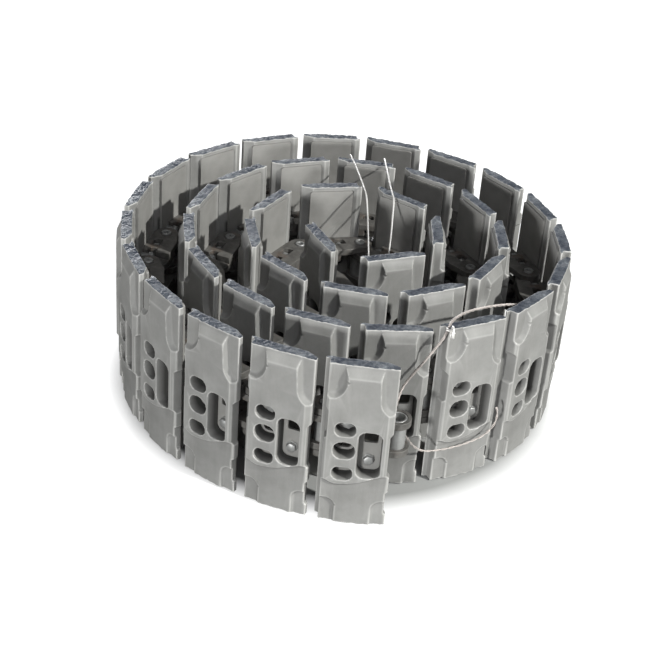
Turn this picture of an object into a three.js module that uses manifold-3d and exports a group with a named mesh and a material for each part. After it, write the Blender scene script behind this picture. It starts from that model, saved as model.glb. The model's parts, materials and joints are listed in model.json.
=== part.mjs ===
// Rubber-padded excavator track, rolled up into a coil and stood on its edge.
// Forty-two links on vertical pins, from the free outer end at the front to the middle of the coil.
// Millimetres, +Z up. In a link's own frame X runs from its bushing to its pin, Y points out to the
// tread and Z is the width of the track.
import * as THREE from 'three';
import { mergeVertices } from 'three/addons/utils/BufferGeometryUtils.js';
import Module from 'manifold-3d';

const wasm = await Module();
wasm.setup();

// Driving dimensions
const PITCH = 135;
const TRACK_WIDTH = 350;
const LINK_COUNT = 42;
const FIT_GAP = 0.3;

// How far a cutting tool runs past what it cuts, and how close two corners are to count as one
const PAST = 2;
const MERGE = 1e-4;
const TURN_ACCURACY = 1e-9;

// Coil: pin circle at the free end, how far apart the turns lie, and how far it is out of round
const COIL_RADIUS = 485;
const TURN_SPACING = 127;
const COIL_START = THREE.MathUtils.degToRad(-82);
const OVAL = 0.027;
const OVAL_AXIS = THREE.MathUtils.degToRad(122);

// Heights along a link's Y, measured from the pin axis
const RAIL_FACE = -34;
const SHOE_SEAT = 28;
const TREAD_FACE = 64;

// Rubber pad
const PAD_LENGTH = 126;
const PAD_START = (PITCH - PAD_LENGTH) / 2;
const PAD_END = PAD_START + PAD_LENGTH;
const PAD_BEVEL = 5;
const RECESS_DEPTH = 10;
const RECESS_LEAN = 8;
const LONG_POCKET = [38, 104];
const SHORT_POCKET = [34, 70];
const FOOT_POCKET = [34, 60];
const SLOT = { from: 26, to: 66, height: 104, depth: 22 };
const HOLE = { x: 97, width: 38, height: 26, step: 42, depth: 22 };

// Steel core inside the pad
const CORE_THICKNESS = 6;
const CORE_MARGIN = 8;

// Chain: layers of the rails counted out from the middle of the track
const INNER_LAYER = [24, 38];
const OUTER_LAYER = [39, 53];
const EYE_RADIUS = 26;
const RAIL_FLAT_START = 22;
const BLOCK_HALF = 22.5;
const BUSHING_RADIUS = 18;
const BORE_RADIUS = 12.5;
const PIN_RADIUS = 11;
const PIN_HALF = 56;
const ROUND_SIDES = 8;
const EYE_STEPS = 4;

// Tie wires: soft steel, their routes in the row's own frame, and the eye twisted at the knot
const WIRE_DIAMETER = 3.6;
const WIRE_SIDES = 8;
const WIRE_STEP = 10;
const TIE_WIRES = {
  tie_wire_upper: [
    [105, -446, 216],
    [107, -432, 220],
    [111, -418, 230],
    [117, -406, 242],
    [126, -399, 256],
    [138, -396, 274],
    [154, -394, 298],
    [171, -392, 326],
    [184, -389, 348],
    [190, -379, 359],
    [197, -358, 361],
    [208, -336, 360],
    [228, -310, 358],
    [256, -286, 355],
    [286, -264, 350],
    [312, -247, 345],
    [334, -232, 338],
  ],
  tie_wire_lower: [
    [118, -437, 161],
    [124, -428, 157],
    [134, -416, 139],
    [148, -404, 114],
    [163, -397, 99],
    [180, -391, 93],
    [208, -380, 91],
    [238, -364, 90],
    [266, -349, 93],
    [288, -337, 99],
    [304, -327, 110],
    [312, -321, 124],
    [314, -316, 140],
    [311, -312, 152],
  ],
  tie_wire_inner_left: [
    [6, 382, 352.8],
    [9, 368, 353.5],
    [13, 345, 354.5],
    [20, 310, 355],
    [27, 270, 355],
    [33, 235, 354.5],
    [38, 205, 353.5],
    [42, 184, 349],
    [45, 160, 337],
    [48, 120, 314],
    [51, 80, 291],
    [54, 30, 263],
    [57, -10, 240],
    [58, -26, 231.5],
  ],
  tie_wire_inner_right: [
    [84, 374, 352.8],
    [85, 362, 353.5],
    [87, 330, 354.5],
    [90, 290, 355],
    [94, 240, 354.5],
    [98, 200, 353.5],
    [101, 176, 352],
    [102, 160, 343],
    [101, 140, 330],
    [99, 100, 306],
    [96, 60, 281],
    [93, 20, 254],
    [90, -6, 236],
    [89, -13, 231.5],
  ],
};
const KNOT_EYE = { at: [198, -386, 358], radius: 8, wire: 3.6, sides: 6, steps: 12 };

// Shoe bolts and nuts
const BOLT = { radius: 6, headRadius: 11, headHeight: 8, reach: 34, xs: [46, 89], z: 38.5, sides: 10 };
const NUT = { radius: 10.5, height: 10, y: 3, threadGap: 0.4 };
const HEX_SIDES = 6;
const BOLT_HOLE = BOLT.radius + 0.8;
const HEAD_POCKET = BOLT.headRadius + 2;
const WINDOW = { half: 13, low: -2, high: 16 };

const MIDDLE = TRACK_WIDTH / 2;

// Solids
function solid(geometry) {
  const bare = geometry.index ? geometry.toNonIndexed() : geometry.clone();
  bare.deleteAttribute('normal');
  bare.deleteAttribute('uv');
  const merged = mergeVertices(bare, MERGE);
  return new wasm.Manifold(new wasm.Mesh({
    numProp: 3,
    vertProperties: new Float32Array(merged.attributes.position.array),
    triVerts: new Uint32Array(merged.index.array),
  }));
}

function toGeometry(body) {
  const mesh = body.getMesh();
  const geometry = new THREE.BufferGeometry();
  geometry.setAttribute('position', new THREE.BufferAttribute(new Float32Array(mesh.vertProperties), 3));
  geometry.setIndex(new THREE.BufferAttribute(new Uint32Array(mesh.triVerts), 1));
  return geometry;
}

const join = (bodies) => bodies.reduce((sum, body) => sum.add(body));
const cut = (body, tools) => tools.reduce((rest, tool) => rest.subtract(tool), body);

// A plate whose outline lies in a link's XY plane, from z0 to z1
function plate(points, z0, z1) {
  const shape = new THREE.Shape(points.map(([x, y]) => new THREE.Vector2(x, y)));
  const geometry = new THREE.ExtrudeGeometry(shape, { depth: z1 - z0, bevelEnabled: false });
  geometry.translate(0, 0, z0);
  return solid(geometry);
}

// A block whose outline lies in a link's XZ plane, from y0 to y1
function slab(points, y0, y1) {
  const shape = new THREE.Shape(points.map(([x, z]) => new THREE.Vector2(x, z)));
  const geometry = new THREE.ExtrudeGeometry(shape, { depth: y1 - y0, bevelEnabled: false });
  geometry.rotateX(Math.PI / 2);
  geometry.translate(0, y1, 0);
  return solid(geometry);
}

function box([x0, x1], [y0, y1], [z0, z1]) {
  const geometry = new THREE.BoxGeometry(x1 - x0, y1 - y0, z1 - z0);
  geometry.translate((x0 + x1) / 2, (y0 + y1) / 2, (z0 + z1) / 2);
  return solid(geometry);
}

// A round bar along Z
function bar(x, radius, z0, z1, sides = ROUND_SIDES) {
  const geometry = new THREE.CylinderGeometry(radius, radius, z1 - z0, sides);
  geometry.rotateX(Math.PI / 2);
  geometry.translate(x, 0, (z0 + z1) / 2);
  return solid(geometry);
}

// A round or six-sided stud along Y
function stud(x, z, radius, y0, y1, sides) {
  const geometry = new THREE.CylinderGeometry(radius, radius, y1 - y0, sides);
  geometry.translate(x, (y0 + y1) / 2, z);
  return solid(geometry);
}

// Rubber pad: bevelled tread, and a pocket in each corner
function padBlock() {
  return plate([
    [PAD_START, SHOE_SEAT],
    [PAD_END, SHOE_SEAT],
    [PAD_END, TREAD_FACE - PAD_BEVEL],
    [PAD_END - PAD_BEVEL, TREAD_FACE],
    [PAD_START + PAD_BEVEL, TREAD_FACE],
    [PAD_START, TREAD_FACE - PAD_BEVEL],
  ], 0, TRACK_WIDTH);
}

function cornerPocket(edgeX, inward, edgeZ, up, width, height) {
  const points = [
    [edgeX - inward * PAST, edgeZ - up * PAST],
    [edgeX + inward * width, edgeZ - up * PAST],
    [edgeX + inward * (width - RECESS_LEAN), edgeZ + up * height],
    [edgeX - inward * PAST, edgeZ + up * height],
  ];
  return slab(inward * up > 0 ? points : points.reverse(), TREAD_FACE - RECESS_DEPTH, TREAD_FACE + PAST);
}

function cornerPockets() {
  return [
    cornerPocket(PAD_START, 1, TRACK_WIDTH, -1, ...LONG_POCKET),
    cornerPocket(PAD_END, -1, TRACK_WIDTH, -1, ...SHORT_POCKET),
    cornerPocket(PAD_START, 1, 0, 1, ...FOOT_POCKET),
    cornerPocket(PAD_END, -1, 0, 1, ...FOOT_POCKET),
  ];
}

function roundedSlot(x0, x1, height, z, depth) {
  const corner = Math.min(x1 - x0, height) / 3;
  const low = z - height / 2;
  const high = z + height / 2;
  return slab([
    [x0 + corner, low],
    [x1 - corner, low],
    [x1, low + corner],
    [x1, high - corner],
    [x1 - corner, high],
    [x0 + corner, high],
    [x0, high - corner],
    [x0, low + corner],
  ], TREAD_FACE - depth, TREAD_FACE + PAST);
}

const boltSlot = () => roundedSlot(SLOT.from, SLOT.to, SLOT.height, MIDDLE, SLOT.depth);

function treadHoles() {
  return [-1, 0, 1].map((row) => roundedSlot(HOLE.x - HOLE.width / 2, HOLE.x + HOLE.width / 2,
    HOLE.height, MIDDLE + row * HOLE.step, HOLE.depth));
}

// A rail's outline: round eyes on the bushing and pin axes, a shoe seat above and a roller face below
function railOutline() {
  const points = [];
  for (const [eyeX, start] of [[0, Math.PI / 2], [PITCH, -Math.PI / 2]]) {
    for (let i = 0; i <= EYE_STEPS; i += 1) {
      const angle = start + (i / EYE_STEPS) * Math.PI;
      points.push([eyeX + EYE_RADIUS * Math.cos(angle), EYE_RADIUS * Math.sin(angle)]);
    }
    if (eyeX === 0) points.push([RAIL_FLAT_START, RAIL_FACE], [PITCH - RAIL_FLAT_START, RAIL_FACE]);
    else points.push([PITCH - RAIL_FLAT_START, SHOE_SEAT], [RAIL_FLAT_START, SHOE_SEAT]);
  }
  return points;
}

// A rail above or below the middle of the track: its bushing end lies in the inner layer, its pin end
// in the outer layer, and the block between them fills both
function rail(side) {
  const layer = ([near, far]) => (side > 0 ? [MIDDLE + near, MIDDLE + far] : [MIDDLE - far, MIDDLE - near]);
  const past = EYE_RADIUS + PAST;
  const tall = [RAIL_FACE - PAST, SHOE_SEAT + PAST];
  const [blockStart, blockEnd] = [PITCH / 2 - BLOCK_HALF, PITCH / 2 + BLOCK_HALF];
  return cut(plate(railOutline(), ...layer([INNER_LAYER[0], OUTER_LAYER[1]])), [
    box([-past, blockStart], tall, layer([INNER_LAYER[1], OUTER_LAYER[1] + PAST])),
    box([blockEnd, PITCH + past], tall, layer([INNER_LAYER[0] - PAST, OUTER_LAYER[0]])),
  ]);
}

// A whole link as one steel and rubber body: pad, both rails, bushing and pin
function linkBody() {
  const steel = join([
    rail(1),
    rail(-1),
    bar(0, BUSHING_RADIUS, MIDDLE - INNER_LAYER[1], MIDDLE + INNER_LAYER[1]),
  ]);
  const bored = cut(steel, [bar(0, BORE_RADIUS, MIDDLE - PIN_HALF, MIDDLE + PIN_HALF)]);
  const pad = cut(padBlock(), cornerPockets());
  const pin = bar(PITCH, PIN_RADIUS, MIDDLE - PIN_HALF, MIDDLE + PIN_HALF);
  return join([bored, pad, pin]);
}

// The same link taken apart, for the free outer end
const boltPlaces = BOLT.xs.flatMap((x) => [-1, 1].map((side) => [x, MIDDLE + side * BOLT.z]));

function outerPad() {
  const coreSpace = box(
    [PAD_START + CORE_MARGIN - FIT_GAP, PAD_END - CORE_MARGIN + FIT_GAP],
    [SHOE_SEAT - PAST, SHOE_SEAT + CORE_THICKNESS + FIT_GAP],
    [CORE_MARGIN - FIT_GAP, TRACK_WIDTH - CORE_MARGIN + FIT_GAP],
  );
  const heads = boltPlaces.map(([x, z]) => stud(x, z, HEAD_POCKET, SHOE_SEAT, TREAD_FACE + PAST, ROUND_SIDES));
  return cut(padBlock(), [...cornerPockets(), boltSlot(), ...treadHoles(), coreSpace, ...heads]);
}

function corePlate() {
  const sheet = box(
    [PAD_START + CORE_MARGIN, PAD_END - CORE_MARGIN],
    [SHOE_SEAT + FIT_GAP, SHOE_SEAT + CORE_THICKNESS],
    [CORE_MARGIN, TRACK_WIDTH - CORE_MARGIN],
  );
  const holes = boltPlaces.map(([x, z]) => stud(x, z, BOLT_HOLE, 0, TREAD_FACE, BOLT.sides));
  return cut(sheet, holes);
}

function boredRail(side) {
  const holes = boltPlaces.map(([x, z]) => stud(x, z, BOLT_HOLE, WINDOW.low, SHOE_SEAT + PAST, BOLT.sides));
  const windows = BOLT.xs.map((x) => box([x - WINDOW.half, x + WINDOW.half], [WINDOW.low, WINDOW.high],
    [MIDDLE - OUTER_LAYER[1] - PAST, MIDDLE + OUTER_LAYER[1] + PAST]));
  return cut(rail(side), [
    bar(0, BUSHING_RADIUS + 2 * FIT_GAP, 0, TRACK_WIDTH),
    bar(PITCH, PIN_RADIUS + 2 * FIT_GAP, 0, TRACK_WIDTH),
    ...holes,
    ...windows,
  ]);
}

function bushing() {
  const tube = bar(0, BUSHING_RADIUS, MIDDLE - INNER_LAYER[1], MIDDLE + INNER_LAYER[1]);
  return cut(tube, [bar(0, BORE_RADIUS, 0, TRACK_WIDTH)]);
}

const linkPin = () => bar(PITCH, PIN_RADIUS, MIDDLE - PIN_HALF, MIDDLE + PIN_HALF);

function shoeBolt([x, z]) {
  const seat = SHOE_SEAT + CORE_THICKNESS + FIT_GAP;
  return join([
    stud(x, z, BOLT.headRadius, seat, seat + BOLT.headHeight, HEX_SIDES),
    stud(x, z, BOLT.radius, seat - BOLT.reach + FIT_GAP, seat + PAST, BOLT.sides),
  ]);
}

function shoeNut([x, z]) {
  const body = stud(x, z, NUT.radius, NUT.y, NUT.y + NUT.height, HEX_SIDES);
  return cut(body, [stud(x, z, BOLT.radius + NUT.threadGap, 0, SHOE_SEAT, BOLT.sides)]);
}

function wireTube(route) {
  const curve = new THREE.CatmullRomCurve3(route.map((point) => new THREE.Vector3(...point)));
  const section = new THREE.Shape();
  for (let i = 0; i < WIRE_SIDES; i += 1) {
    const angle = (i / WIRE_SIDES) * 2 * Math.PI;
    const x = (WIRE_DIAMETER / 2) * Math.cos(angle);
    const y = (WIRE_DIAMETER / 2) * Math.sin(angle);
    if (i === 0) section.moveTo(x, y);
    else section.lineTo(x, y);
  }
  const steps = Math.round(curve.getLength() / WIRE_STEP);
  return solid(new THREE.ExtrudeGeometry(section, { steps, bevelEnabled: false, extrudePath: curve }));
}

function knotEye() {
  const geometry = new THREE.TorusGeometry(KNOT_EYE.radius, KNOT_EYE.wire / 2, KNOT_EYE.sides, KNOT_EYE.steps);
  geometry.rotateY(Math.PI / 2);
  geometry.translate(...KNOT_EYE.at);
  return solid(geometry);
}

// Coil: pin centres one pitch apart along a slightly oval spiral, clockwise seen from above
function spiralPoint(turned) {
  const radius = COIL_RADIUS - (TURN_SPACING * turned) / (2 * Math.PI);
  const angle = COIL_START - turned - OVAL_AXIS;
  const long = radius * Math.cos(angle) * (1 + OVAL);
  const short = radius * Math.sin(angle) * (1 - OVAL);
  return new THREE.Vector2(long, short).rotateAround(new THREE.Vector2(), OVAL_AXIS);
}

function pinCentres() {
  const centres = [spiralPoint(0)];
  let turned = 0;
  for (let i = 0; i < LINK_COUNT; i += 1) {
    const last = centres[centres.length - 1];
    let low = turned;
    let high = turned + Math.PI / 2;
    while (high - low > TURN_ACCURACY) {
      const middle = (low + high) / 2;
      if (spiralPoint(middle).distanceTo(last) < PITCH) low = middle;
      else high = middle;
    }
    turned = low;
    centres.push(spiralPoint(turned));
  }
  return centres;
}

// Materials
const rubber = () => new THREE.MeshStandardMaterial({ color: 0x5c5b57, roughness: 0.85, metalness: 0 });
const castSteel = () => new THREE.MeshStandardMaterial({ color: 0x5b5a58, roughness: 0.6, metalness: 0.7 });
const brightSteel = () => new THREE.MeshStandardMaterial({ color: 0xa9aaab, roughness: 0.4, metalness: 0.9 });

function named(name, body, material) {
  const mesh = new THREE.Mesh(toGeometry(body), material);
  mesh.name = name;
  return mesh;
}

const two = (number) => String(number).padStart(2, '0');

function outerEndLink() {
  const letters = ['a', 'b', 'c', 'd'];
  return [
    named('rubber_pad_01', outerPad(), rubber()),
    named('steel_core_01', corePlate(), castSteel()),
    named('rail_upper_01', boredRail(1), castSteel()),
    named('rail_lower_01', boredRail(-1), castSteel()),
    named('bushing_01', bushing(), brightSteel()),
    named('link_pin_01', linkPin(), brightSteel()),
    ...boltPlaces.map((place, i) => named(`shoe_bolt_01_${letters[i]}`, shoeBolt(place), brightSteel())),
    ...boltPlaces.map((place, i) => named(`shoe_nut_01_${letters[i]}`, shoeNut(place), brightSteel())),
  ];
}

// Assembly
const track = new THREE.Group();
const coil = new THREE.Group();
track.add(coil);

const centres = pinCentres();
const wholeLink = linkBody();
for (let i = 0; i < LINK_COUNT; i += 1) {
  const place = new THREE.Group();
  const along = centres[i + 1].clone().sub(centres[i]);
  place.position.set(centres[i].x, centres[i].y, 0);
  place.rotation.z = Math.atan2(along.y, along.x);
  if (i === 0) place.add(...outerEndLink());
  else place.add(named(`track_link_${two(i + 1)}`, wholeLink, rubber()));
  coil.add(place);
}

// The row's origin is the middle of the coil's footprint, and the wires are placed from there
const footprint = new THREE.Box3().setFromObject(track);
const centre = footprint.getCenter(new THREE.Vector3());
coil.position.set(-centre.x, -centre.y, 0);
for (const [name, route] of Object.entries(TIE_WIRES)) track.add(named(name, wireTube(route), brightSteel()));
track.add(named('tie_wire_knot', knotEye(), brightSteel()));

export default track;
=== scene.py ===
"""Rubber-padded crawler track, rolled into a coil and stood on its edge.

Metres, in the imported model's frame."""
import json
import math

import bmesh
import bpy
from mathutils import Matrix, Vector, noise

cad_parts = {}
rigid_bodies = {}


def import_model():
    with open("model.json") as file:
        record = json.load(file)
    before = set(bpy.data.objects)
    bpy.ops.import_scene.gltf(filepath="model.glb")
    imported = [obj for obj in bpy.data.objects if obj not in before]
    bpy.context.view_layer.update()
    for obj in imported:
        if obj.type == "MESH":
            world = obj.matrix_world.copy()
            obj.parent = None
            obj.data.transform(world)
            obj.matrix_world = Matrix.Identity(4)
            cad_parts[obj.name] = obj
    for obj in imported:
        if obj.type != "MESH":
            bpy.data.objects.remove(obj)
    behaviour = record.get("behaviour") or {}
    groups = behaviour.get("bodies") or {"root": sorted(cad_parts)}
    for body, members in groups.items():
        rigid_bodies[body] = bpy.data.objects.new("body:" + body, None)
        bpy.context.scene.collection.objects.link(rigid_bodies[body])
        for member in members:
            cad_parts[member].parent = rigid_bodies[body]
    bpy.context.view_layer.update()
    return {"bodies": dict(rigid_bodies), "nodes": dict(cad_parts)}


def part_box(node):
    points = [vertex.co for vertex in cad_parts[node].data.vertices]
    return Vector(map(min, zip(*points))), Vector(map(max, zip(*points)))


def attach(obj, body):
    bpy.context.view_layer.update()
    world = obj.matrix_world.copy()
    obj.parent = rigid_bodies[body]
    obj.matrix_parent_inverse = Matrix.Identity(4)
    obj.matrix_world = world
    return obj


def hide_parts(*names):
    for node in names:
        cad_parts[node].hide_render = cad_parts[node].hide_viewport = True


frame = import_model()
MM = 0.001

# Sizes in millimetres, in a link's own frame: X from bushing to pin, Y out to the tread, Z up
LINK_COUNT = len(frame["bodies"])
PITCH = 135
WIDTH = 350
MIDDLE = WIDTH / 2
TREAD = 64
INNER = 32
PLATE = (28.3, 34)
PAD_START = 4.5
PAD_END = 130.5
LIP = 8
VOXEL = 1.6
KEPT_FACES = 0.16
NORMAL_WEIGHT = 60
PAD_SEEDS = 3
BOLT_X = (46, 89)
BOLT_Z = (-38.5, 38.5)
BOLT_SEAT = 34.3
CHAIN_TOP = 56

SCENE = bpy.context.scene


# Camera: the photograph's side of the coil, seen from above
CAMERA_TARGET = (-0.0327, -0.2621, 0.2809)
CAMERA_DISTANCE = 2.739
CAMERA_RISE = 30.87
CAMERA_TURN = 0.92
CAMERA_ROLL = 4.42
CAMERA_LENS = 78.8


def make_camera():
    rise, turn, roll = (math.radians(a) for a in (CAMERA_RISE, CAMERA_TURN, CAMERA_ROLL))
    ahead = Vector((math.sin(turn) * math.cos(rise), math.cos(turn) * math.cos(rise), -math.sin(rise)))
    right = Vector((math.cos(turn), -math.sin(turn), 0))
    above = right.cross(ahead)
    x_axis = right * math.cos(roll) + above * math.sin(roll)
    y_axis = above * math.cos(roll) - right * math.sin(roll)
    turned = Matrix((x_axis, y_axis, -ahead)).transposed().to_4x4()
    data = bpy.data.cameras.new("camera")
    data.lens = CAMERA_LENS
    camera = bpy.data.objects.new("camera", data)
    camera.matrix_world = Matrix.Translation(Vector(CAMERA_TARGET) - ahead * CAMERA_DISTANCE) @ turned
    SCENE.collection.objects.link(camera)
    SCENE.camera = camera


make_camera()


# Materials
class Shader:
    """A node material: noise, ramps and bump are added to one principled shader."""

    def __init__(self, name, roughness, metallic=0.0, specular=0.5):
        self.material = bpy.data.materials.new(name)
        self.material.use_nodes = True
        self.tree = self.material.node_tree
        self.main = self.tree.nodes["Principled BSDF"]
        self.main.inputs["Roughness"].default_value = roughness
        self.main.inputs["Metallic"].default_value = metallic
        self.main.inputs["Specular IOR Level"].default_value = specular
        self.place = self.tree.nodes.new("ShaderNodeTexCoord").outputs["Object"]

    def link(self, start, end):
        self.tree.links.new(start, end)

    def noise(self, scale, detail=4.0, rough=0.6, stretch=None):
        node = self.tree.nodes.new("ShaderNodeTexNoise")
        node.inputs["Scale"].default_value = scale
        node.inputs["Detail"].default_value = detail
        node.inputs["Roughness"].default_value = rough
        place = self.place
        if stretch:
            mapping = self.tree.nodes.new("ShaderNodeMapping")
            mapping.inputs["Scale"].default_value = stretch
            self.link(place, mapping.inputs["Vector"])
            place = mapping.outputs["Vector"]
        self.link(place, node.inputs["Vector"])
        return node.outputs["Fac"]

    def ramp(self, value, stops):
        node = self.tree.nodes.new("ShaderNodeValToRGB")
        marks = node.color_ramp.elements
        while len(marks) < len(stops):
            marks.new(0.5)
        for mark, (at, colour) in zip(marks, stops):
            mark.position = at
            mark.color = (*colour, 1.0)
        self.link(value, node.inputs["Fac"])
        return node.outputs["Color"]

    def feed(self, sockets, values):
        """Each socket is linked to an output, or set to a colour or a number."""
        for socket, value in zip(sockets, values):
            if isinstance(value, bpy.types.NodeSocket):
                self.link(value, socket)
            elif isinstance(value, tuple):
                socket.default_value = (*value, 1.0)
            else:
                socket.default_value = value

    def mix(self, factor, first, second, blend="MIX"):
        node = self.tree.nodes.new("ShaderNodeMix")
        node.data_type = "RGBA"
        node.blend_type = blend
        self.feed((node.inputs[0], node.inputs[6], node.inputs[7]), (factor, first, second))
        return node.outputs[2]

    def both(self, first, second):
        return self.mix(1.0, first, second, "MULTIPLY")

    def math(self, operation, first, second=0.0):
        node = self.tree.nodes.new("ShaderNodeMath")
        node.operation = operation
        self.feed(node.inputs, (first, second))
        return node.outputs[0]

    def split(self, vector):
        """A vector's parts, by name."""
        node = self.tree.nodes.new("ShaderNodeSeparateXYZ")
        self.link(vector, node.inputs["Vector"])
        return node.outputs

    def away(self, axis, middle):
        """How far a point is from a plane across one of the piece's axes."""
        return self.math("ABSOLUTE", self.math("SUBTRACT", self.split(self.place)[axis], middle * MM))

    def fade(self, length, full, none, longest):
        """A mask over a length: 1 at full and 0 at none, in millimetres up to the longest."""
        stops = sorted([(full / longest, grey(1)), (none / longest, grey(0))])
        return self.ramp(self.math("MULTIPLY", length, 1 / (longest * MM)), stops)

    def end_mask(self):
        """Where the surface is the upper or lower end of the track and faces up or down."""
        normal = self.tree.nodes.new("ShaderNodeNewGeometry").outputs["Normal"]
        upright = self.math("ABSOLUTE", self.split(normal)["Z"])
        far = self.fade(self.away("Z", MIDDLE), 171.5, 168.7, WIDTH)
        return self.both(far, self.ramp(upright, [(0.72, grey(0)), (0.9, grey(1))]))

    def opening_shade_mask(self):
        """Deep inside the slot and the holes of a pad: painted shade, with some dirt."""
        deep = self.fade(self.split(self.place)["Y"], 44, 60, 100)
        near = self.fade(self.away("X", 67), 45, 51, 100)
        level = self.fade(self.away("Z", 168), 72, 82, 200)
        return self.both(self.both(deep, near), level)

    def edges(self):
        """Convexity: bright on worn edges, on the rubber also for a painted highlight; dark in corners."""
        geometry = self.tree.nodes.new("ShaderNodeNewGeometry")
        return geometry.outputs["Pointiness"]

    def bump(self, height, strength, distance):
        node = self.tree.nodes.new("ShaderNodeBump")
        node.inputs["Strength"].default_value = strength
        node.inputs["Distance"].default_value = distance
        self.link(height, node.inputs["Height"])
        self.link(node.outputs["Normal"], self.main.inputs["Normal"])

    def colour(self, value):
        self.link(value, self.main.inputs["Base Color"])


def grey(level, warm=0.0):
    return (level * (1 + warm), level, level * (1 - warm))


RUBBER_DARK, RUBBER_LIGHT = grey(0.165, 0.02), grey(0.24, 0.015)
DUST = grey(0.31, 0.02)
# Lighter rubber edges: partly wear, partly a painted highlight
WORN_AND_HIGHLIGHT_EDGE = grey(0.5, 0.02)
# Painted shade with some dirt, for the deep openings of a pad
SHADE_AND_DIRT = grey(0.05, 0.03)
# Cut-end tones: grey mottling, tinted blue as a painted sky reflection
END_TONES_WITH_SKY_TINT = [(0.36, (0.045, 0.053, 0.075)), (0.5, (0.1, 0.112, 0.138)), (0.66, (0.24, 0.255, 0.28))]
RUST = (0.16, 0.085, 0.045)


def rubber_material():
    """Grey rubber with dust, worn edges lightened also as a painted highlight, and openings darkened with
    painted shade and some dirt; its cut ends are speckled, with a bluish tint painted as a sky reflection.
    """
    shader = Shader("rubber_dusty", roughness=0.62, specular=0.35)
    blotches = shader.ramp(shader.noise(14, 6, 0.62), [(0.3, RUBBER_DARK), (0.7, RUBBER_LIGHT)])
    smears = shader.ramp(shader.noise(9, 5, 0.7, (3.0, 1.0, 0.35)), [(0.45, grey(0)), (0.8, grey(0.35))])
    # Edges lightened: partly wear, partly a painted highlight
    edges = shader.ramp(shader.edges(), [(0.505, grey(0)), (0.55, grey(0.9))])
    worn = shader.mix(edges, shader.mix(smears, blotches, DUST), WORN_AND_HIGHLIGHT_EDGE)
    # The pad's openings are darkened with painted shade, with some dirt
    openings_shaded = shader.mix(shader.opening_shade_mask(), worn, SHADE_AND_DIRT)
    # Cut ends: real mottling and speckle, with a blue tint that is a painted sky reflection
    patches = shader.ramp(shader.noise(34, 5, 0.7), END_TONES_WITH_SKY_TINT)
    speckle = shader.ramp(shader.noise(210, 3, 0.8), [(0.4, grey(0.35)), (0.66, grey(1))])
    rough_end = shader.mix(0.55, patches, speckle, "MULTIPLY")
    shader.colour(shader.mix(shader.end_mask(), openings_shaded, rough_end))
    shader.bump(shader.noise(260, 5, 0.65), 0.25, 0.0012)
    return shader.material


def steel_material(name, dark, light, rough, metallic, scale, rust=0.0):
    """Steel with blotches of a size, lighter at its worn edges, and with some rust."""
    shader = Shader(name, rough, metallic)
    body = shader.ramp(shader.noise(scale, 6, 0.65), [(0.3, dark), (0.72, light)])
    if rust:
        spots = shader.ramp(shader.noise(38, 5, 0.7), [(0.55, grey(0)), (0.75, grey(rust))])
        body = shader.mix(spots, body, RUST)
    worn = shader.ramp(shader.edges(), [(0.51, grey(0)), (0.6, grey(0.8))])
    shader.colour(shader.mix(worn, body, light))
    shader.bump(shader.noise(scale * 4, 4, 0.6), 0.2, 0.0006)
    return shader.material


RUBBER = rubber_material()
FORGED = steel_material("forged_steel", grey(0.045, 0.04), grey(0.17, 0.05), 0.55, 0.35, 60, 0.5)
PLATE_STEEL = steel_material("painted_plate", grey(0.165, 0.03), grey(0.235, 0.03), 0.62, 0.0, 22, 0.08)
BRIGHT = steel_material("bright_steel", grey(0.2, 0.01), grey(0.42), 0.42, 0.55, 90)
WIRE = steel_material("wire_steel", (0.55, 0.53, 0.52), (0.86, 0.84, 0.83), 0.42, 0.35, 300)
DULL_WIRE = steel_material("dull_wire_steel", (0.2, 0.18, 0.17), (0.52, 0.47, 0.45), 0.5, 0.35, 120)


# Tie wires: their routes, in millimetres, as the CAD model has them
TIE_WIRES = {
    "tie_wire_upper": [
        (105, -446, 216), (107, -432, 220), (111, -418, 230), (117, -406, 242), (126, -399, 256),
        (138, -396, 274), (154, -394, 298), (171, -392, 326), (184, -389, 348), (190, -379, 359),
        (197, -358, 361), (208, -336, 360), (228, -310, 358), (256, -286, 355), (286, -264, 350),
        (312, -247, 345), (334, -232, 338),
    ],
    "tie_wire_lower": [
        (118, -437, 161), (124, -428, 157), (134, -416, 139), (148, -404, 114), (163, -397, 99),
        (180, -391, 93), (208, -380, 91), (238, -364, 90), (266, -349, 93), (288, -337, 99),
        (304, -327, 110), (312, -321, 124), (314, -316, 140), (311, -312, 152),
    ],
    "tie_wire_inner_left": [
        (6, 382, 352.8), (9, 368, 353.5), (13, 345, 354.5), (20, 310, 355), (27, 270, 355),
        (33, 235, 354.5), (38, 205, 353.5), (42, 184, 349), (45, 160, 337), (48, 120, 314),
        (51, 80, 291), (54, 30, 263), (57, -10, 240), (58, -26, 231.5),
    ],
    "tie_wire_inner_right": [
        (84, 374, 352.8), (85, 362, 353.5), (87, 330, 354.5), (90, 290, 355), (94, 240, 354.5),
        (98, 200, 353.5), (101, 176, 352), (102, 160, 343), (101, 140, 330), (99, 100, 306),
        (96, 60, 281), (93, 20, 254), (90, -6, 236), (89, -13, 231.5),
    ],
}
WIRE_DIAMETER = 3.6
STRAND_SIDES = 8
TWIST_LENGTH = 34
ROUTE_STEPS = 6
# What each wire rides on and is made of, and its strands: how many, how thick, how far from the middle
WIRE_MAKE = {
    "tie_wire_upper": ("link_19", DULL_WIRE, 3, 2.6, 1.5),
    "tie_wire_lower": ("link_19", DULL_WIRE, 2, 2.2, 1.1),
    "tie_wire_inner_left": ("link_39", WIRE, 1, WIRE_DIAMETER, 0.0),
    "tie_wire_inner_right": ("link_39", WIRE, 1, WIRE_DIAMETER, 0.0),
}


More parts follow.
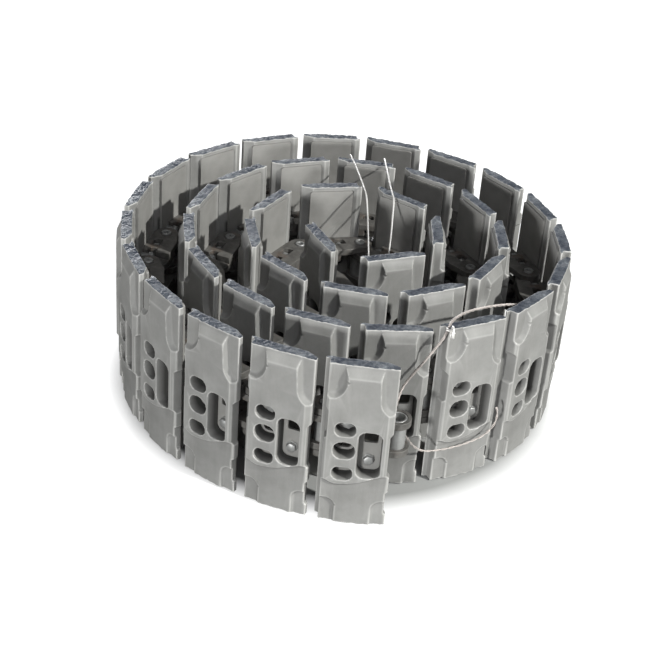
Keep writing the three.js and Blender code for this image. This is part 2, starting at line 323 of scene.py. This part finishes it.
def smooth_route(points):
    """Points along a Catmull-Rom curve through the route."""
    knots = [Vector(p) * MM for p in points]
    ends = [knots[0] * 2 - knots[1], *knots, knots[-1] * 2 - knots[-2]]
    out = []
    for i in range(1, len(ends) - 2):
        a, b, c, d = ends[i - 1:i + 3]
        for j in range(ROUTE_STEPS):
            t = j / ROUTE_STEPS
            out.append(0.5 * (2 * b + (c - a) * t + (2 * a - 5 * b + 4 * c - d) * t ** 2
                              + (3 * b - a - 3 * c + d) * t ** 3))
    return out + [knots[-1]]


def bridge(mesh, rings):
    """Faces between each ring of corners and the next."""
    for low, high in zip(rings, rings[1:]):
        for i in range(len(low)):
            j = (i + 1) % len(low)
            mesh.faces.new((low[i], low[j], high[j], high[i]))


def closed(mesh, rings):
    """A bridged solid with both its ends closed."""
    bridge(mesh, rings)
    mesh.faces.new(rings[0][::-1])
    mesh.faces.new(rings[-1])


def tube(mesh, line, radius, offset=0.0, phase=0.0):
    """Adds a closed tube along a line, which can wind round it at a distance."""
    side = Vector((0, 0, 1)).cross(line[1] - line[0]).normalized()
    gone = 0.0
    rings = []
    for i, point in enumerate(line):
        along = (line[min(i + 1, len(line) - 1)] - line[max(i - 1, 0)]).normalized()
        side = (side - along * side.dot(along)).normalized()
        lift = along.cross(side)
        if i:
            gone += (point - line[i - 1]).length
        angle = phase + gone / (TWIST_LENGTH * MM) * 2 * math.pi
        centre = point + (side * math.cos(angle) + lift * math.sin(angle)) * offset
        ring = []
        for j in range(STRAND_SIDES):
            a = j / STRAND_SIDES * 2 * math.pi
            ring.append(mesh.verts.new(centre + (side * math.cos(a) + lift * math.sin(a)) * radius))
        rings.append(ring)
    closed(mesh, rings)


def finished(mesh, name, material, smooth=True):
    """An object in the scene from a bmesh."""
    bmesh.ops.recalc_face_normals(mesh, faces=mesh.faces)
    data = bpy.data.meshes.new(name)
    mesh.to_mesh(data)
    mesh.free()
    for face in data.polygons:
        face.use_smooth = smooth
    data.materials.append(material)
    piece = bpy.data.objects.new(name, data)
    SCENE.collection.objects.link(piece)
    return piece


def make_wires():
    for name, points in TIE_WIRES.items():
        line = smooth_route(points)
        body, material, count, thickness, offset = WIRE_MAKE[name]
        mesh = bmesh.new()
        for i in range(count):
            tube(mesh, line, thickness / 2 * MM, offset=offset * MM, phase=i * 2 * math.pi / count)
        piece = finished(mesh, name + "_strands", material)
        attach(piece, body)
        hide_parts(name)
        with_pieces = [make_knot()] if name == "tie_wire_upper" else []


EYE_RADIUS, EYE_THICKNESS, EYE_STEPS = 9.5, 5, 24
WRAP_RADIUS, WRAP_THICKNESS, WRAP_STEPS = 4.8, 3.2, 40
WRAP_TURN, WRAP_ADVANCE = 0.52, 0.22
STUB_THICKNESS, STUB_STEPS = 2.2, 7


def make_knot():
    """The wire's twisted eye, with three wraps and its two cut ends."""
    low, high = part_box("tie_wire_knot")
    centre = (low + high) / 2
    mesh = bmesh.new()
    eye = []
    for i in range(EYE_STEPS + 1):
        a = i / EYE_STEPS * 2 * math.pi
        eye.append(centre + Vector((math.sin(a), math.cos(a) * EYE_RADIUS, math.sin(a) * EYE_RADIUS)) * MM)
    tube(mesh, eye, EYE_THICKNESS / 2 * MM)
    wraps = []
    for i in range(WRAP_STEPS):
        y, z = math.cos(i * WRAP_TURN) * WRAP_RADIUS - 1, math.sin(i * WRAP_TURN) * WRAP_RADIUS - 6
        wraps.append(centre + Vector((i * WRAP_ADVANCE - 4, y, z)) * MM)
    tube(mesh, wraps, WRAP_THICKNESS / 2 * MM)
    for lean in (-1, 1):
        away = Vector((-1.6, lean * 0.8, 0.9))
        stub = [centre + (Vector((-2, 0, 1)) + away * i) * MM for i in range(STUB_STEPS)]
        tube(mesh, stub, STUB_THICKNESS / 2 * MM)
    piece = finished(mesh, "tie_wire_eye", WIRE)
    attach(piece, "link_19")
    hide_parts("tie_wire_knot")
    return piece


make_wires()


# Links: where each one is
def pin_centre(number):
    """The axis of the pin at a link's far end: the middle of the pin's upper end face."""
    if number == 0:
        low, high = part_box("bushing_01")
    elif number == 1:
        low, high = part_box("link_pin_01")
    else:
        top = (MIDDLE + CHAIN_TOP) * MM
        node = frame["nodes"][f"track_link_{number:02d}"]
        end = [v.co for v in node.data.vertices if abs(v.co.z - top) < 0.0001]
        low = Vector((min(v.x for v in end), min(v.y for v in end), 0))
        high = Vector((max(v.x for v in end), max(v.y for v in end), 0))
    centre = (low + high) / 2
    return Vector((centre.x, centre.y, 0))


PINS = [pin_centre(number) for number in range(LINK_COUNT + 1)]


def link_place(number):
    start, end = PINS[number - 1], PINS[number]
    turn = math.atan2(end.y - start.y, end.x - start.x)
    return Matrix.Translation(start) @ Matrix.Rotation(turn, 4, "Z")


# Solids in a link's frame, in millimetres
def add_loft(mesh, low, high):
    """A closed solid between two outlines with the same number of points."""
    closed(mesh, [[mesh.verts.new(Vector(p) * MM) for p in outline] for outline in (low, high)])


def grown(outline, by):
    """An outline moved outwards by a distance, along the mean normal of each corner."""
    area = sum(a[0] * b[1] - b[0] * a[1] for a, b in zip(outline, outline[1:] + outline[:1]))
    sign = 1 if area > 0 else -1
    out = []
    for i, here in enumerate(outline):
        before, after = Vector(outline[i - 1]), Vector(outline[(i + 1) % len(outline)])
        here = Vector(here)
        one, two = (here - before).normalized(), (after - here).normalized()
        normal = Vector((one.y + two.y, -one.x - two.x)).normalized() * sign
        reach = by / max(0.5, normal.dot(Vector((one.y, -one.x)) * sign))
        out.append(tuple(here + normal * reach))
    return out


def facing_solid(name, outline, y_low, y_high, grow=0.0):
    """Outline in XZ from one depth to another, wider at the tread by grow."""
    mesh = bmesh.new()
    add_loft(mesh, [(x, y_low, z) for x, z in outline], [(x, y_high, z) for x, z in grown(outline, grow)])
    return finished(mesh, name, RUBBER)


def standing_solid(name, outline, z_low, z_high):
    """Outline in XY, upright from z_low to z_high."""
    mesh = bmesh.new()
    add_loft(mesh, [(x, y, z_low) for x, y in outline], [(x, y, z_high) for x, y in outline])
    return finished(mesh, name, RUBBER)


def side_solid(name, outline, x_low, x_high):
    """Outline in YZ, from x_low to x_high."""
    mesh = bmesh.new()
    add_loft(mesh, [(x_low, y, z) for y, z in outline], [(x_high, y, z) for y, z in outline])
    return finished(mesh, name, RUBBER)


def arc(x, z, radius_x, radius_z, start, end, steps=6):
    angles = [math.radians(start + (end - start) * i / steps) for i in range(steps + 1)]
    return [(x + radius_x * math.cos(a), z + radius_z * math.sin(a)) for a in angles]


def rounded(x_low, x_high, z_low, z_high, radius):
    return [
        *arc(x_high - radius, z_high - radius, radius, radius, 0, 90),
        *arc(x_low + radius, z_high - radius, radius, radius, 90, 180),
        *arc(x_low + radius, z_low + radius, radius, radius, 180, 270),
        *arc(x_high - radius, z_low + radius, radius, radius, 270, 360),
    ]


def mesh_of(piece):
    """The mesh with its modifiers applied; the piece itself is removed."""
    graph = bpy.context.evaluated_depsgraph_get()
    data = bpy.data.meshes.new_from_object(piece.evaluated_get(graph))
    bpy.data.objects.remove(piece)
    return data


def combine(piece, tools, operation="DIFFERENCE"):
    for tool in tools:
        step = piece.modifiers.new("cut", "BOOLEAN")
        step.operation = operation
        step.object = tool
        step.solver = "EXACT"
    bpy.context.view_layer.update()
    data = mesh_of(piece)
    for tool in tools:
        bpy.data.objects.remove(tool)
    out = bpy.data.objects.new("solid", data)
    SCENE.collection.objects.link(out)
    return out


PAST = 3
RECESS_FLOOR = TREAD - 10
STEP_FLOOR = TREAD - 5


def corner_recesses():
    """Sunk corners of the tread with sloping walls; the long one is on the bushing side."""
    top, foot = WIDTH + PAST, -PAST
    near, far = PAD_START - PAST, PAD_END + PAST
    outlines = [
        [(far, top), (101, top), (101, 318), *arc(125, 318, 24, 32, 180, 250), (far, 287)],
        [(near, top), (31, top), (26, 286), *arc(2, 284, 24, 27, 0, -75), (near, 257)],
        [(far, foot), (104, foot), (104, 38), *arc(122, 38, 18, 16, 180, 100), (far, 54)],
        [(near, foot), (30, foot), (30, 40), *arc(12, 40, 18, 15, 0, 80), (near, 55)],
    ]
    return [facing_solid("recess", o, RECESS_FLOOR, TREAD + PAST, 9) for o in outlines]


def lower_step():
    """The foot of the tread is a little lower than its middle, below a curved edge."""
    outline = [
        (PAD_END + 2 * PAST, -2 * PAST), (PAD_START - 2 * PAST, -2 * PAST), (PAD_START - 2 * PAST, 121),
        (4, 118), (18, 115), (32, 110), (46, 103), (60, 97), (75, 93), (92, 90.5), (107, 90.5),
        (117, 94), (125, 99), (PAD_END + 2 * PAST, 101),
    ]
    return facing_solid("step", outline, STEP_FLOOR, TREAD + PAST, 6)


def top_chamfer():
    """A long bevel down from the upper end, between the two recesses."""
    outline = [(TREAD + PAST, 322), (TREAD - 0.2, 326), (TREAD - 9, 343), (TREAD - 9, WIDTH + PAST),
               (TREAD + PAST, WIDTH + PAST)]
    return side_solid("chamfer", outline, 30, 104)


def tread_openings():
    slot = rounded(25, 65, 114, 211, 13)
    holes = [rounded(75, 109, z - 12.5, z + 12.5, 11) for z in (215, 118)]
    middle = rounded(74, 110, 169 - 16, 169 + 16, 14)
    return [facing_solid("opening", o, INNER, TREAD + PAST, 2.5) for o in (slot, middle, *holes)]


def side_notches():
    """Both long sides step in and out a little."""
    right = [(PAD_START - PAST, 214), (PAD_START + 5, 206), (PAD_START + 5, 120), (PAD_START - PAST, 110)]
    low = [(PAD_START - PAST, 84), (PAD_START + 4, 78), (PAD_START + 4, 30), (PAD_START - PAST, 24)]
    left = [(PAD_END + PAST, 262), (PAD_END - 4, 254), (PAD_END - 4, 196), (PAD_END + PAST, 188)]
    return [facing_solid("notch", o, INNER + 8, TREAD + PAST, 0.5) for o in (right, low, left)]


def pad_mesh(seed):
    """The moulded rubber pad, rounded all over, with rough ends."""
    section = [
        (PAD_START, TREAD - 8), (PAD_START + 1, TREAD - 6), (PAD_START + 11, TREAD), (PAD_END - 5, TREAD),
        (PAD_END, TREAD - 5), (PAD_END, INNER + 5), (PAD_END + LIP, INNER + 2), (PAD_END + LIP, INNER - 1),
        (PAD_END - 4, INNER - 3), (PAD_END - 12, INNER), (PAD_START + 24, INNER), (PAD_START, INNER + 12),
    ]
    block = standing_solid("block", section, 0.5, WIDTH - 0.5)
    pocket_outline = [(22, 10), (118, 10), (118, 340), (22, 340)]
    pocket = facing_solid("pocket", pocket_outline, INNER - PAST, PLATE[1] + 0.2)
    tools = [*corner_recesses(), lower_step(), top_chamfer(), *tread_openings(), *side_notches(), pocket]
    pad = combine(block, tools)
    remesh = pad.modifiers.new("remesh", "REMESH")
    remesh.mode = "VOXEL"
    remesh.voxel_size = VOXEL * MM
    relax = pad.modifiers.new("relax", "SMOOTH")
    relax.factor = 0.5
    relax.iterations = 4
    bpy.context.view_layer.update()
    data = mesh_of(pad)
    roughen(data, seed)
    pad = bpy.data.objects.new("pad", data)
    SCENE.collection.objects.link(pad)
    thin = pad.modifiers.new("thin", "DECIMATE")
    thin.ratio = KEPT_FACES
    flat = pad.modifiers.new("normals", "WEIGHTED_NORMAL")
    flat.weight = NORMAL_WEIGHT
    bpy.context.view_layer.update()
    data = mesh_of(pad)
    data.name = f"pad_{seed}"
    data.materials.clear()
    data.materials.append(RUBBER)
    return data


END_ZONE = 5 * MM
FINE_GRAIN, COARSE_GRAIN = 160, 45


def roughen(data, seed):
    """The cut and scuffed upper and lower ends: pitted, with chipped edges."""
    for vertex in data.vertices:
        where = vertex.co
        depth = min(where.z, WIDTH * MM - where.z)
        if depth > END_ZONE:
            continue
        inward = 1 if where.z < MIDDLE * MM else -1
        rough = noise.noise(where * FINE_GRAIN + Vector((seed * 7.3, 0, 0)))
        coarse = noise.noise(where * COARSE_GRAIN + Vector((seed * 3.1, 5, 0)))
        share = 1 - depth / END_ZONE
        where.z += inward * share * MM * (1.1 + 1.2 * rough + 1.5 * coarse)
        where.y -= share * MM * 0.7 * rough


def beveled(piece, width, angle=30):
    """Rounds a solid's edges and gives its mesh."""
    bevel = piece.modifiers.new("bevel", "BEVEL")
    bevel.width = width * MM
    bevel.segments = 2
    bevel.limit_method = "ANGLE"
    bevel.angle_limit = math.radians(angle)
    bevel.harden_normals = True
    bpy.context.view_layer.update()
    data = mesh_of(piece)
    for face in data.polygons:
        face.use_smooth = True
    return data


def with_material(data, name, material):
    data.name = name
    data.materials.clear()
    data.materials.append(material)
    return data


def plate_mesh():
    """The steel plate that the rubber is bonded to, with its window and mud hole."""
    plate = facing_solid("plate", rounded(22.5, 117.5, 10.5, 339.5, 5), *PLATE)
    holes = [rounded(31, 57, 173, 195, 4), rounded(79, 105, 157, 181, 8)]
    cut = [facing_solid("hole", o, PLATE[0] - PAST, PLATE[1] + PAST) for o in holes]
    return with_material(beveled(combine(plate, cut), 1.2), "core_plate", PLATE_STEEL)


def bore(x, radius):
    """A round cutter, upright through the whole width."""
    last = 360 - 360 / BORE_SIDES
    return standing_solid("bore", arc(x, 0, radius, radius, 0, last, BORE_SIDES - 1), 0, WIDTH)


RAIL_FACE = -34
SEAT = 28
EYE = 26
RAIL_EYE_STEPS = 14
LAYERS = (24, 38, 39, 53)
BORE_SIDES = 28
BUSHING_RADIUS, BUSHING_BORE, BUSHING_REACH = 18, 12.5, 38
PIN_RADIUS, PIN_BORE = 11, 3
TURNED_SIDES = 32
TURNED_CHAMFER = 1.5


def rail_mesh(side):
    """A forged rail: eyes at both ends, cranked between them, with windows for the nuts."""
    outline = [
        *arc(0, 0, EYE, EYE, 90, 250, RAIL_EYE_STEPS),
        (20, -30), (30, RAIL_FACE), (PITCH - 30, RAIL_FACE), (PITCH - 20, -30),
        *arc(PITCH, 0, EYE, EYE, -70, 90, RAIL_EYE_STEPS),
        (PITCH - 24, SEAT), (24, SEAT),
    ]

    def layer(near, far):
        """Where a layer of the rail is, as its lowest and highest Z."""
        return (MIDDLE + near, MIDDLE + far) if side > 0 else (MIDDLE - far, MIDDLE - near)

    body = standing_solid("rail", outline, *layer(LAYERS[0], LAYERS[3]))
    crank_in = [(-30, -40), (40, -40), (50, 40), (-30, 40)]
    crank_out = [(85, -40), (165, -40), (165, 40), (95, 40)]
    cuts = [
        standing_solid("crank", crank_in, *layer(LAYERS[1], LAYERS[3] + PAST)),
        standing_solid("crank", crank_out, *layer(LAYERS[0] - PAST, LAYERS[2])),
        bore(0, BUSHING_RADIUS + 0.4),
        bore(PITCH, PIN_RADIUS + 0.5),
    ]
    for x in BOLT_X:
        window = [(x - 13, -3), (x + 13, -3), (x + 13, 10), (x + 8, 16), (x - 8, 16), (x - 13, 10)]
        cuts.append(standing_solid("window", window, *layer(LAYERS[0] - PAST, LAYERS[3] + PAST)))
    return with_material(beveled(combine(body, cuts), 1.6), f"rail_{side}", FORGED)


def ring_mesh(name, outer, inner, reach, x=0.0):
    """A turned steel tube with chamfered ends, as far up as down, made by spinning its section."""
    z_low, z_high = MIDDLE - reach, MIDDLE + reach
    edge = outer - TURNED_CHAMFER
    section = [(inner, z_low), (edge, z_low), (outer, z_low + TURNED_CHAMFER),
               (outer, z_high - TURNED_CHAMFER), (edge, z_high), (inner, z_high)]
    mesh = bmesh.new()
    angles = [i / TURNED_SIDES * 2 * math.pi for i in range(TURNED_SIDES)]
    rings = [[mesh.verts.new(Vector((x + r * math.cos(a), r * math.sin(a), z)) * MM) for a in angles]
             for r, z in section]
    bridge(mesh, rings + rings[:1])
    piece = finished(mesh, name, BRIGHT)
    flat = piece.modifiers.new("normals", "WEIGHTED_NORMAL")
    flat.weight = NORMAL_WEIGHT
    bpy.context.view_layer.update()
    return with_material(mesh_of(piece), name, BRIGHT)


def stud(mesh, x, z, loops, sides, start=0.0):
    """A closed stud along Y through rings of (depth, radius)."""
    angles = [start + i / sides * 2 * math.pi for i in range(sides)]
    rings = [[mesh.verts.new(Vector((x + r * math.cos(a), y, z + r * math.sin(a))) * MM) for a in angles]
             for y, r in loops]
    closed(mesh, rings)


# Rings of (depth, radius), and how each hexagon is turned
SHANK_SIDES = 18
SHANK = [(1, 5.4), (2, 6), (BOLT_SEAT - 0.5, 6)]
HEAD = [(BOLT_SEAT, 12.4), (BOLT_SEAT + 1.6, 12.4), (BOLT_SEAT + 1.6, 10.6), (BOLT_SEAT + 7, 10.6),
        (BOLT_SEAT + 8.4, 9.2)]
NUT = [(2.6, 9.2), (3.4, 10.4), (12.2, 10.4), (13, 9.2)]
HEAD_TURN, NUT_TURN = 0.3, 0.5


def fasteners(kind):
    """The four bolts or the four nuts of a shoe, as one mesh."""
    mesh = bmesh.new()
    for x in BOLT_X:
        for z in BOLT_Z:
            if kind == "bolts":
                stud(mesh, x, MIDDLE + z, SHANK, SHANK_SIDES)
                stud(mesh, x, MIDDLE + z, HEAD, 6, HEAD_TURN)
            else:
                stud(mesh, x, MIDDLE + z, NUT, 6, NUT_TURN)
    piece = finished(mesh, kind, BRIGHT, smooth=False)
    return with_material(beveled(piece, 0.5, 25), kind, BRIGHT)


# Assembly
def place(name, data, number, slot):
    piece = bpy.data.objects.new(f"{name}_{number:02d}", data)
    SCENE.collection.objects.link(piece)
    piece.matrix_world = link_place(number)
    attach(piece, f"link_{number:02d}")
    return piece


def make_links():
    """Every link has the same pieces, but for its pad, which is one of a few."""
    pads = [pad_mesh(seed) for seed in range(PAD_SEEDS)]
    bushing = ring_mesh("bushing", BUSHING_RADIUS, BUSHING_BORE, BUSHING_REACH)
    pin = ring_mesh("pin", PIN_RADIUS, PIN_BORE, CHAIN_TOP, PITCH)
    shared = {
        "shoe_plate": (plate_mesh(), "cast_steel", ["steel_core_01"]),
        "upper_rail": (rail_mesh(1), "cast_steel", ["rail_upper_01"]),
        "lower_rail": (rail_mesh(-1), "cast_steel", ["rail_lower_01"]),
        "bushing_tube": (bushing, "bright_steel", ["bushing_01"]),
        "pin_bar": (pin, "bright_steel", ["link_pin_01"]),
        "bolts": (fasteners("bolts"), "bright_steel", [f"shoe_bolt_01_{c}" for c in "abcd"]),
        "nuts": (fasteners("nuts"), "bright_steel", [f"shoe_nut_01_{c}" for c in "abcd"]),
    }
    for number in range(1, LINK_COUNT + 1):
        pad = place("pad", pads[number % len(pads)], number, "rubber")
        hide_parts("rubber_pad_01" if number == 1 else f"track_link_{number:02d}")
        for name, (data, slot, nodes) in shared.items():
            piece = place(name, data, number, slot)
            if number == 1:
                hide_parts(*nodes)


make_links()


# Floor and light
FLOOR_HALF = 30
FLOOR_DROP = 0.5
FLOOR_GLOW = 0.9


def make_floor():
    mesh = bmesh.new()
    bmesh.ops.create_grid(mesh, x_segments=2, y_segments=2, size=FLOOR_HALF)
    floor = finished(mesh, "floor", floor_material())
    floor.location.z = -FLOOR_DROP * MM


def floor_material():
    """Pale, and lit up for the eye only, except below the coil, so that the shadow stays faint."""
    shader = Shader("pale_floor", 0.9, specular=0.1)
    shader.colour(shader.ramp(shader.noise(3), [(0.3, grey(0.34)), (0.7, grey(0.36))]))
    reach = shader.tree.nodes.new("ShaderNodeVectorMath")
    reach.operation = "LENGTH"
    shader.link(shader.place, reach.inputs[0])
    open_floor = shader.fade(reach.outputs["Value"], 490, 430, 1000)
    seen = shader.tree.nodes.new("ShaderNodeLightPath").outputs["Is Camera Ray"]
    glow = shader.both(open_floor, shader.math("MULTIPLY", seen, FLOOR_GLOW))
    shader.main.inputs["Emission Color"].default_value = (1, 1, 1, 1)
    shader.link(glow, shader.main.inputs["Emission Strength"])
    return shader.material


# Each sun: azimuth from the camera's side towards the right, height, strength, colour and softness
SUNS = {
    "key": (60, 34, 4.3, (0.985, 1.0, 0.95), 2),
    "fill": (-24, 5, 2.8, (0.98, 1.0, 0.975), 6),
    "sky": (18, 40, 0.75, (0.96, 0.99, 1.0), 40),
    "back": (195, 8, 2.8, (0.97, 0.98, 1.0), 10),
}
SKY_COLOUR = (0.93, 0.96, 1.0, 1.0)
SKY_STRENGTH = 0.11


def sun(name, azimuth, rise, strength, colour, softness):
    data = bpy.data.lights.new(name, "SUN")
    data.energy = strength
    data.color = colour
    data.angle = math.radians(softness)
    lamp = bpy.data.objects.new(name, data)
    a, e = math.radians(azimuth), math.radians(rise)
    towards = Vector((math.sin(a) * math.cos(e), -math.cos(a) * math.cos(e), math.sin(e)))
    lamp.rotation_euler = towards.to_track_quat("Z", "Y").to_euler()
    SCENE.collection.objects.link(lamp)


def make_light():
    world = bpy.data.worlds.new("studio")
    world.use_nodes = True
    sky = world.node_tree.nodes["Background"]
    sky.inputs["Color"].default_value = SKY_COLOUR
    sky.inputs["Strength"].default_value = SKY_STRENGTH
    SCENE.world = world
    for name, setup in SUNS.items():
        sun(name, *setup)
    SCENE.view_settings.view_transform = "Standard"


make_floor()
make_light()
